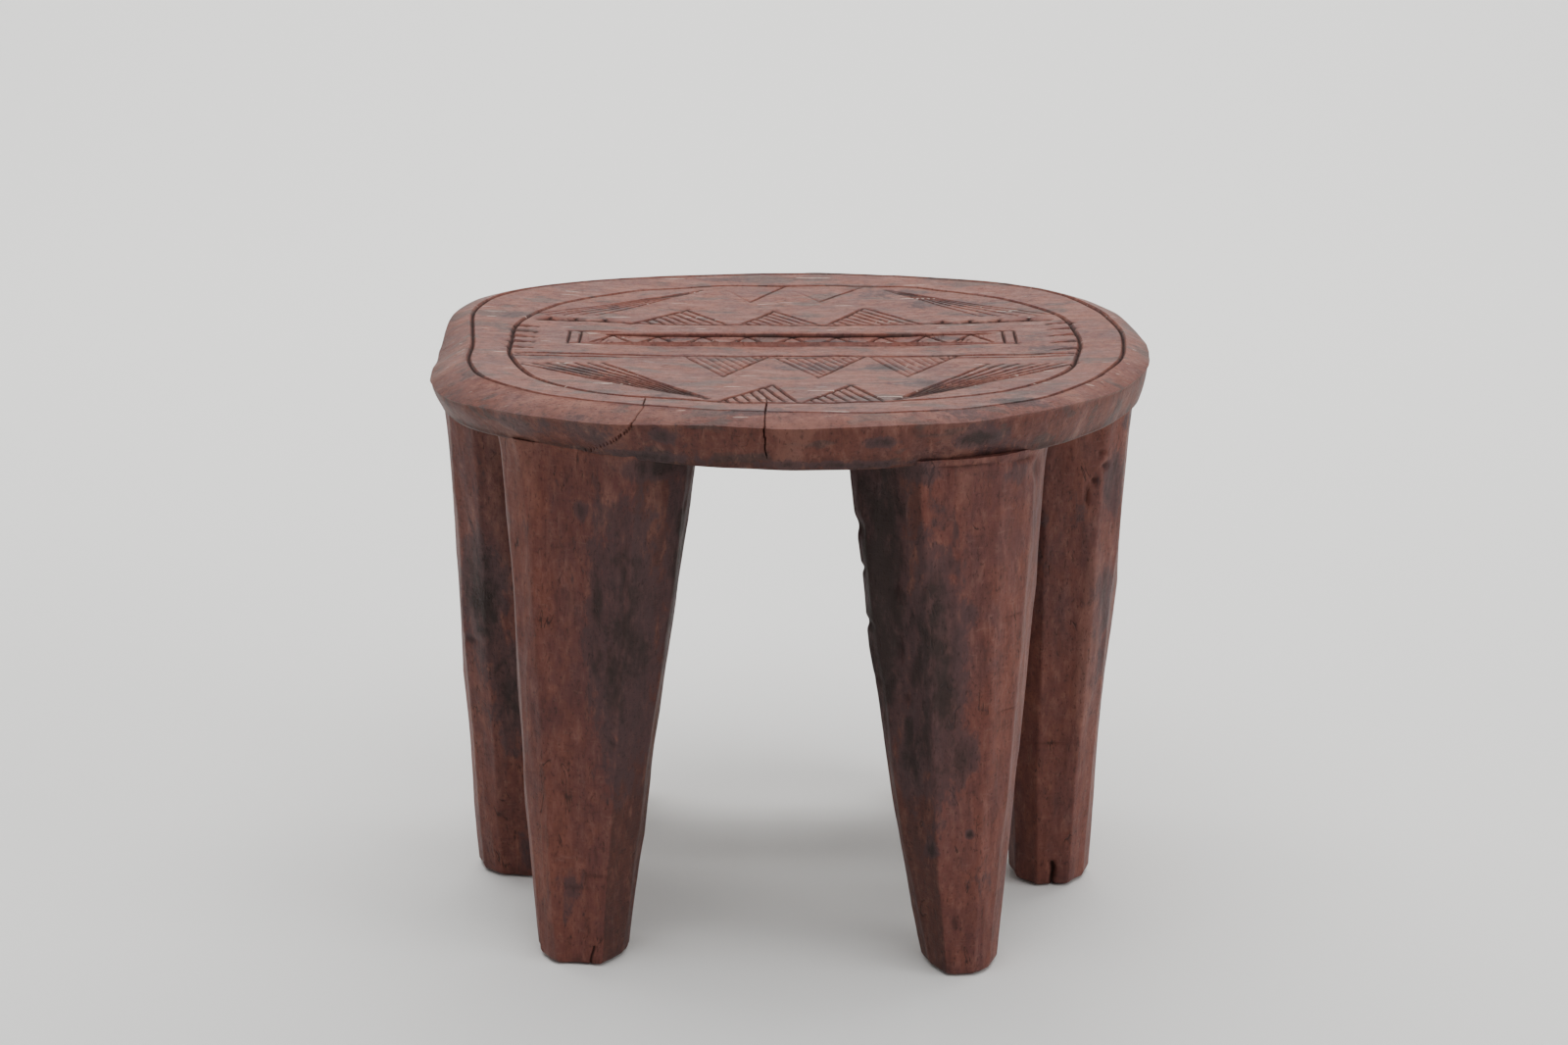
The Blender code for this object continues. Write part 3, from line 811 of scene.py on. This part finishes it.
def closed_walk(corners, count):
    """Spread points evenly round a closed polygon."""
    corners = np.asarray(corners, dtype=float)
    after = np.roll(corners, -1, axis=0)
    lengths = np.hypot(*(after - corners).T)
    share = np.concatenate(([0], np.cumsum(lengths))) / lengths.sum()
    t = np.arange(count) / count
    loop = np.concatenate((corners, corners[:1]))
    return np.stack((np.interp(t, share, loop[:, 0]), np.interp(t, share, loop[:, 1])), 1)


def soften(ring):
    """Round the corners of a closed ring a little."""
    return 0.25 * np.roll(ring, 1, axis=0) + 0.5 * ring + 0.25 * np.roll(ring, -1, axis=0)


def leg_grid(name, rng, height):
    """Rows of points up a leg: from its foot to its top section, a little swollen and bent."""
    top, foot = (np.asarray(section, dtype=float) * MM for section in LEG_SECTIONS[name])
    # Corners have to run anticlockwise seen from above, so that the faces look outward
    if (top[:, 0] * np.roll(top[:, 1], -1) - np.roll(top[:, 0], -1) * top[:, 1]).sum() < 0:
        top = top[::-1]
        foot = foot[::-1]
    bend = rng.uniform(-1, 1, (4, 2))
    levels = (np.linspace(0, FOOT_HEIGHT, FOOT_ROWS, endpoint=False),
              np.linspace(FOOT_HEIGHT, height, UP - FOOT_ROWS))
    rows = []
    for z in np.concatenate(levels):
        t = z / height
        section = foot + (top - foot) * t
        middle = section.mean(0)
        swell = np.array(LEG_SWELL[name]) * MM * math.sin(math.pi * t ** 0.85)
        reach = (section - middle) / np.abs(section - middle).max(0)
        section = section + np.where(reach < 0, reach * swell[0], reach * swell[1]) * (1, 0.5)
        sway = 0.0007 * (bend[0] * math.sin(7 * t) + bend[1] * math.sin(13 * t + 1))
        rows.append(np.column_stack((soften(closed_walk(section, AROUND)) + sway, np.full(AROUND, z))))
    return np.array(rows)


def carve_leg(name, number, rng, points, height):
    """How far the tools leave each point out or in, with the dirt and the ridges that go with it."""
    cuts = []
    for many, across, along in (ADZE_CUTS, KNIFE_CUTS):
        centres = points[rng.randint(0, len(points), many)]
        cuts.append(scallops(points, centres, across, along))
    wide, fine = cuts
    shift = sizes().adze_depth * (wide - 0.6) + 0.22 * sizes().adze_depth * (fine - 0.6)
    x, y, z = points.T
    shift += 0.0007 * wander(x, y, z * 0.4, 0.020, number)
    shift += 0.00015 * wander(x, y, z * 0.15, 0.0035, number + 20)
    # Foot worn away round its edge, and a small flare where the leg runs into the seat
    shift -= 0.0028 * np.clip(1 - z / 0.0045, 0, 1) ** 2
    shift += 0.0008 * smooth_step(height - 0.012, height, z)
    dent = np.zeros(len(points))
    for *place, depth in LEG_GOUGES[name]:
        chip = blots(points, [(*place, 1.0)])
        dent = np.maximum(dent, chip)
        shift -= depth * MM * chip
    split = np.zeros(len(points))
    for start, end, half, depth in LEG_SPLITS[name]:
        start = np.array(start) * MM
        along = np.array(end) * MM - start
        t = np.clip(((points - start) @ along) / along.dot(along), 0, 1)
        away = points - start - t[:, None] * along
        # A split wavers, and depth counts for less, so that it keeps its width on a slanting face
        away = np.hypot(np.hypot(away[:, 0] + 0.0006 * np.sin(z * 400), away[:, 1] * 0.35), away[:, 2])
        here = np.clip(1 - away / (half * MM * 1.6), 0, 1)
        split = np.maximum(split, here)
        shift -= depth * MM * here
    return shift, np.maximum(split, 0.5 * dent), wide * 0.7 + 0.3 * fine


def turned_inward(grid, middles, outward):
    """1 on faces that look toward the middle of the stool, 0 on those that look away."""
    away = middles[:, :2] / np.linalg.norm(middles[:, :2], axis=1)[:, None]
    around = (np.roll(grid, -1, axis=1) - np.roll(grid, 1, axis=1)).reshape(-1, 3)
    facing = np.stack((around[:, 1], -around[:, 0]), 1)
    facing /= np.linalg.norm(facing, axis=1)[:, None]
    facing *= np.sign((facing * outward[:, :2]).sum(1))[:, None]
    return 1 - smooth_step(0.10, 0.60, (facing * away).sum(1))


def close_leg(points):
    """Faces up the leg, the sole in rings that are flat on the floor, and the lid inside the seat."""
    faces = []
    for i in range(UP - 1):
        for j in range(AROUND):
            k = (j + 1) % AROUND
            faces.append((i * AROUND + j, i * AROUND + k, (i + 1) * AROUND + k, (i + 1) * AROUND + j))
    centre = points[:AROUND].mean(0)
    parts = [points]
    base = len(points)
    previous = list(range(AROUND))
    for share in SOLE_RINGS:
        ring = centre + (points[:AROUND] - centre) * share
        parts.append(ring * (1, 1, 0))
        current = [base + j for j in range(AROUND)]
        for j in range(AROUND):
            k = (j + 1) % AROUND
            faces.append((previous[k], previous[j], current[j], current[k]))
        previous = current
        base += AROUND
    parts.append(centre[None, :] * (1, 1, 0))
    for j in range(AROUND):
        faces.append((previous[(j + 1) % AROUND], previous[j], base))
    faces.append(tuple((UP - 1) * AROUND + j for j in range(AROUND)))
    points = np.concatenate(parts)
    points[:AROUND, 2] = SOLE_EDGE
    return points, faces


def make_leg(name, number):
    height = sizes().seat_height - sizes().seat_thickness + LEG_SINK
    rng = np.random.RandomState(sizes().seed * 31 + number)
    grid = leg_grid(name, rng, height)
    points = grid.reshape(-1, 3)
    middles = np.repeat(grid.mean(1), AROUND, axis=0)
    outward = points - middles
    outward[:, 2] = 0
    outward /= np.linalg.norm(outward, axis=1)[:, None]
    shift, dirt, ridge = carve_leg(name, number, rng, points, height)
    # Painted shade on faces turned toward the middle of the stool, where less light reaches; the end legs get
    # more light, so less of it
    inner = turned_inward(grid, middles, outward) * (0.22 if "side" in name else 0.85)
    points, faces = close_leg(points + outward * shift[:, None])
    sole = len(points) - len(outward)
    layers = {
        "dirt": np.concatenate((dirt, np.zeros(sole))),
        "soot_and_shade": blots(points, LEG_BLOTS[name]),
        "ridge": np.concatenate((ridge, np.zeros(sole))),
        "side": np.ones(len(points)),
        "inner": np.concatenate((inner, np.ones(sole))),
    }
    piece = make_object(name + "_carved", points, faces, "stained_hardwood_leg", layers, 40)
    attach(piece, "root")
    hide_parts(name)
    return piece


class STOOL_OT_legs(bpy.types.Operator):
    """Carve the six tapering legs with their adze cuts, worn feet, chips and splits"""
    bl_idname = "stool.legs"
    bl_label = "Legs"

    def execute(self, context):
        for number, name in enumerate(LEG_SECTIONS):
            make_leg(name, number)
        return {"FINISHED"}


# ---------------- wood

def build_wood(name, is_seat):
    """Close-grained tropical hardwood, adze cut, dyed red-brown and darkened by smoke and hands.

    The dye sinks in unevenly, so the colour drifts from brick red to grey violet. Ridges and
    corners are rubbed lighter, cut lines and splits hold dark dirt, and the surface has the low
    sheen of old oil. Painted shade darkens the upright faces, the faces turned toward the middle
    of the stool, the rim's foot and the seat's underside, and some dark blotches are painted shade
    rather than smoke. On the legs the grain runs up and down; the seat's top shows fine strokes
    of the finishing blade across its length.
    """
    material = bpy.data.materials.new(name)
    material.use_nodes = True
    tree = material.node_tree
    tree.nodes.clear()
    dyes = finish()
    place = add_node(tree, "ShaderNodeTexCoord").outputs["Object"]
    soot_and_shade, dirt, ridge, side, inner = (
        add_node(tree, "ShaderNodeAttribute", attribute_name=mask).outputs["Fac"]
        for mask in ("soot_and_shade", "dirt", "ridge", "side", "inner"))

    def mottling(stretch, size_mm, detail, rough=0.55, distort=0.0, move=0.0):
        """Noise whose blotches measure about size_mm, drawn out along one direction."""
        moved = add_node(tree, "ShaderNodeMapping", {
            "Vector": place, "Scale": stretch, "Location": (move, move, move)})
        return add_node(tree, "ShaderNodeTexNoise", {
            "Vector": moved.outputs[0], "Scale": 1000 / size_mm, "Detail": detail,
            "Roughness": rough, "Distortion": distort}).outputs["Fac"]

    def span(value, low, high):
        return add_node(tree, "ShaderNodeMapRange", {
            "Value": value, "From Min": low, "From Max": high}, interpolation_type="SMOOTHSTEP").outputs[0]

    def math_of(operation, a, b):
        return add_node(tree, "ShaderNodeMath", {0: a, 1: b}, operation=operation).outputs[0]

    def times(a, b):
        return math_of("MULTIPLY", a, b)

    def plus(a, b):
        return math_of("ADD", a, b)

    def less(a, b):
        return math_of("SUBTRACT", a, b)

    def blend(factor, a, b):
        return add_node(tree, "ShaderNodeMix", {0: factor, 6: a, 7: b}, data_type="RGBA").outputs[2]

    # Grain streaks about 2 mm wide; pores of 0.2 mm are drawn at about 1 mm so that they show
    grain = mottling((1.0, 1.0, 0.06), 2.2, 5, 0.6, 0.3)
    pores = mottling((0.8, 0.8, 0.4), 1.1, 2, 0.5)
    broad = mottling((1.0, 1.0, 0.35), 38, 3, 0.55, 0.4)
    patchy = mottling((1.0, 1.0, 0.6), 11, 4, 0.6, 0.6, 3.0)
    violet = mottling((1.0, 1.0, 0.4), 24, 3, 0.6, 0.5, 7.0)
    # Short scuffs of the blade and of handling, lying across the legs
    scuff = mottling((0.30, 0.30, 1.0), 2.4, 4, 0.65, 0.25, 13.0)
    mottle = mottling((1.0, 1.0, 0.35), 4.5, 6, 0.72, 0.3, 9.0)
    fibre = mottling((0.5, 0.5, 0.5), 0.8, 2, 0.6)
    # Hair cracks: the level lines of a slow noise, broken up by a patchy mask
    lines = mottling((0.30, 1.0, 1.0) if is_seat else (1.0, 1.0, 0.30), 30, 4, 0.62, 0.8, 21.0)
    hair = times(span(math_of("ABSOLUTE", less(lines, 0.5), 0.0), 0.009, 0.001), span(patchy, 0.50, 0.60))

    colour = blend(span(broad, 0.35, 0.68), dyes.stain, linear("#663C38"))
    colour = blend(times(span(patchy, 0.40, 0.72), 0.55), colour, linear("#895141"))
    colour = blend(times(span(violet, 0.48, 0.75), 0.50), colour, linear("#574043"))
    colour = blend(times(span(grain, 0.42, 0.66), 0.13), colour, linear("#432620"))
    colour = blend(times(span(scuff, 0.54, 0.70), 0.26), colour, linear("#38211D"))
    colour = blend(times(span(scuff, 0.42, 0.28), 0.20), colour, linear("#9C7469"))
    if is_seat:
        # Strokes rubbed light, grey smudges and a few fresh scratches, all along the seat
        strokes = mottling((0.22, 1.0, 1.0), 5.5, 4, 0.6, 0.2, 5.0)
        colour = blend(times(times(span(strokes, 0.42, 0.70), 0.50), less(1.0, side)), colour, dyes.worn)
        smudges = mottling((0.36, 1.0, 1.0), 11, 2, 0.5, 0.3, 11.0)
        colour = blend(times(span(smudges, 0.565, 0.635), 0.66), colour, linear("#4F423F"))
        scratches = mottling((0.10, 1.0, 1.0), 2.6, 1, 0.4, 0.0, 17.0)
        scratches = times(span(scratches, 0.730, 0.755), less(0.7, times(side, 0.7)))
        colour = blend(scratches, colour, linear("#C4AEA2"))
    # Painted shade: upright faces are darkened against the seat's top, on which the light from above falls
    colour = blend(times(side, 0.26 if is_seat else 0.22), colour, linear("#2E1613"))
    # Painted shade on faces turned toward the stool's middle, and on the seat's rim and underside
    colour = blend(times(inner, 0.62), colour, linear("#2A1A15"))
    colour = blend(times(span(mottle, 0.46, 0.70), 0.46), colour, linear("#3A211C"))
    colour = blend(times(span(mottle, 0.50, 0.28), 0.30), colour, dyes.worn)
    colour = blend(times(hair, 0.30 if is_seat else 0.70), colour, dyes.grime)
    rubbed = times(times(span(ridge, 0.55, 1.25), 0.30), span(patchy, 0.30, 0.60))
    colour = blend(rubbed, colour, dyes.worn)
    # Smoke clings in soft blotches with a ragged edge: a thin film looks grey violet, a thick one black. The
    # same blotches also carry painted shade under the rim and on the legs' inward faces
    ragged = plus(soot_and_shade, times(less(patchy, 0.5), 1.3))
    ragged = plus(ragged, times(less(mottle, 0.5), 0.9))
    colour = blend(times(span(ragged, 0.22, 0.50), 0.70), colour, linear("#453335"))
    colour = blend(times(span(ragged, 0.50, 1.00), 0.84), colour, dyes.soot_and_shade)
    colour = blend(times(span(pores, 0.57, 0.70), 0.42), colour, dyes.grime)
    colour = blend(times(span(dirt, 0.08, 0.85), 0.84), colour, dyes.grime)

    rough = plus(plus(0.46, times(patchy, 0.22)), times(dirt, 0.25))
    relief = times(grain, 0.55)
    for part, amount in ((patchy, 0.9), (span(pores, 0.58, 0.72), -0.35), (fibre, 0.18), (scuff, 0.9),
                         (hair, -1.2), (mottle, 0.9)):
        relief = plus(relief, times(part, amount))
    if is_seat:
        relief = plus(relief, times(strokes, 0.8))
    bump = add_node(tree, "ShaderNodeBump", {"Height": relief, "Strength": 0.55, "Distance": 0.0006})
    shader = add_node(tree, "ShaderNodeBsdfPrincipled", {
        "Base Color": colour, "Roughness": rough, "Normal": bump.outputs[0],
        "Metallic": 0.0, "IOR": 1.5, "Specular IOR Level": 0.24})
    add_node(tree, "ShaderNodeOutputMaterial", {"Surface": shader.outputs[0]})
    return material


class STOOL_OT_wood(bpy.types.Operator):
    """Make the two stained hardwoods: the seat's and the legs'"""
    bl_idname = "stool.wood"
    bl_label = "Wood"

    def execute(self, context):
        build_wood("stained_hardwood_seat", True)
        build_wood("stained_hardwood_leg", False)
        return {"FINISHED"}


# ---------------- stage, light and camera

SKY_COLOUR = (0.93, 0.96, 1.0, 1.0)
SKY_STRENGTH = 0.27
PAPER_FRONT = -6.0
PAPER_BEND = 1.6
BEND_RADIUS = 1.2
BEND_STEPS = 24
PAPER_TOP = 5.0
PAPER_REACH = 7.0
CAMERA_PLACE = (-0.003, -1.765, 0.446)      # its height is above the seat
CAMERA_TILT = 17.4
CAMERA_LENS = 74.25


def area_light(name, place, aim, size, watts):
    data = bpy.data.lights.new(name, "AREA")
    data.shape = "RECTANGLE"
    data.size = size[0]
    data.size_y = size[1]
    data.energy = watts
    lamp = bpy.data.objects.new(name, data)
    lamp.location = place
    lamp.rotation_euler = (Vector(aim) - Vector(place)).to_track_quat("-Z", "Y").to_euler()
    bpy.context.scene.collection.objects.link(lamp)


def make_backdrop():
    """Matt paper: one sheet, flat on the floor, then in a wide curve up to the wall."""
    material = bpy.data.materials.new("matt_paper")
    material.use_nodes = True
    shader = material.node_tree.nodes["Principled BSDF"]
    shader.inputs["Base Color"].default_value = finish().floor
    shader.inputs["Roughness"].default_value = 0.9
    shader.inputs["Specular IOR Level"].default_value = 0.2
    profile = [(PAPER_FRONT, 0.0), (PAPER_BEND, 0.0)]
    for i in range(1, BEND_STEPS + 1):
        turn = i / BEND_STEPS * math.pi / 2
        profile.append((PAPER_BEND + BEND_RADIUS * math.sin(turn), BEND_RADIUS * (1 - math.cos(turn))))
    profile.append((PAPER_BEND + BEND_RADIUS, PAPER_TOP))
    verts = []
    for y, z in profile:
        verts.extend(((-PAPER_REACH, y, z), (PAPER_REACH, y, z)))
    faces = [(2 * i, 2 * i + 1, 2 * i + 3, 2 * i + 2) for i in range(len(profile) - 1)]
    mesh = bpy.data.meshes.new("backdrop")
    mesh.from_pydata(verts, [], faces)
    mesh.shade_smooth()
    mesh.materials.append(material)
    floor = bpy.data.objects.new("backdrop", mesh)
    bpy.context.scene.collection.objects.link(floor)


def make_light():
    world = bpy.data.worlds.new("studio")
    world.use_nodes = True
    background = world.node_tree.nodes["Background"]
    background.inputs["Color"].default_value = SKY_COLOUR
    background.inputs["Strength"].default_value = SKY_STRENGTH
    bpy.context.scene.world = world
    area_light("key_overhead", (0.0, -0.6, 2.4), (0, 0, 0.2), (2.2, 1.8), 37)
    area_light("window_left", (-2.2, -1.0, 0.9), (0, 0, 0.15), (1.2, 1.4), 3)
    area_light("window_right", (2.2, -1.0, 0.9), (0, 0, 0.15), (1.2, 1.4), 21)
    area_light("backdrop_wash", (0, 1.0, 2.8), (0, 2.8, 0.9), (4.0, 1.2), 120)


def make_camera():
    data = bpy.data.cameras.new("camera")
    data.sensor_width = 36.0
    data.lens = CAMERA_LENS
    data.clip_start = 0.05
    data.clip_end = 50
    camera = bpy.data.objects.new("camera", data)
    x, y, above = CAMERA_PLACE
    camera.location = (x, y, sizes().seat_height + above)
    camera.rotation_euler = (math.radians(90 - CAMERA_TILT), 0, 0)
    bpy.context.scene.collection.objects.link(camera)
    bpy.context.scene.camera = camera


class STOOL_OT_stage(bpy.types.Operator):
    """Set up the pale floor, soft studio light and camera"""
    bl_idname = "stool.stage"
    bl_label = "Stage"

    def execute(self, context):
        make_backdrop()
        make_light()
        make_camera()
        return {"FINISHED"}


class STOOL_PT_panel(bpy.types.Panel):
    """Lists the steps and settings of the stool"""
    bl_idname = "STOOL_PT_panel"
    bl_label = "Carved stool"
    bl_space_type = "VIEW_3D"
    bl_region_type = "UI"
    bl_category = "Stool"

    def draw(self, context):
        layout = self.layout
        for group in (context.scene.stool_sizes, context.scene.stool_finish):
            box = layout.box()
            for key in group.__annotations__:
                box.prop(group, key)
        for operator in OPERATORS:
            layout.operator(operator.bl_idname)


OPERATORS = (STOOL_OT_stage, STOOL_OT_wood, STOOL_OT_seat, STOOL_OT_legs)
CLASSES = (STOOL_PG_sizes, STOOL_PG_finish, *OPERATORS, STOOL_PT_panel)


def register():
    for item in CLASSES:
        bpy.utils.register_class(item)
    bpy.types.Scene.stool_sizes = PointerProperty(type=STOOL_PG_sizes)
    bpy.types.Scene.stool_finish = PointerProperty(type=STOOL_PG_finish)


def unregister():
    del bpy.types.Scene.stool_finish
    del bpy.types.Scene.stool_sizes
    for item in reversed(CLASSES):
        bpy.utils.unregister_class(item)


def main():
    register()
    bpy.ops.stool.stage()
    bpy.ops.stool.wood()
    bpy.ops.stool.seat()
    bpy.ops.stool.legs()


if __name__ == "__main__":
    main()
